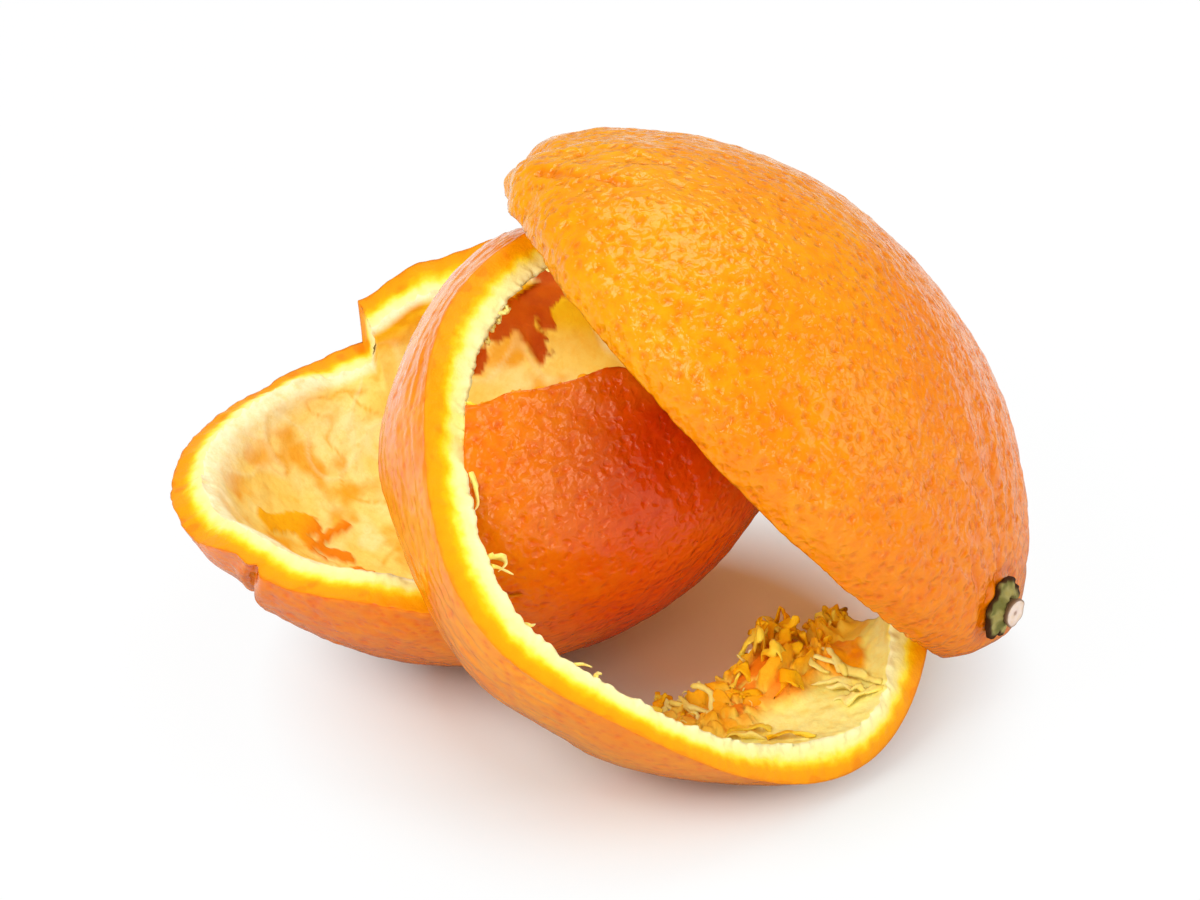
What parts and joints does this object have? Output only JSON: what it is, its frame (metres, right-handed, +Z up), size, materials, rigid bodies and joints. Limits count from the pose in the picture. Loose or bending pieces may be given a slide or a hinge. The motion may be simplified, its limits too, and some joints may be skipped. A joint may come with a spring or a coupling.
{
  "type": "orange peel",
  "caption": "Peel of an orange torn into a bowl with a tall wall, a ring strip and a dome with its calyx, leaning on each other with empty insides.",
  "frame": {"origin": "middle of the footprint, on the floor the peel lies on", "axes": "+X to the viewer's right along the peel's greatest width, +Y away from the viewer, +Z up"},
  "size_m": [0.1042, 0.089, 0.0649],
  "materials": {
    "bowl_rind": "oily orange skin with pores outside, pale soft pith inside",
    "strip_rind": "oily orange skin with pores outside, pale soft pith inside",
    "dome_rind": "oily orange skin with pores outside, pale soft pith inside",
    "calyx": "dry green calyx with a brown edge",
    "stem_stub": "pale snapped stem end"
  },
  "bodies": {
    "root": {"bowl": "bowl_rind", "strip": "strip_rind", "dome": "dome_rind", "calyx": "calyx", "stem_stub": "stem_stub"}
  },
  "joints": []
}
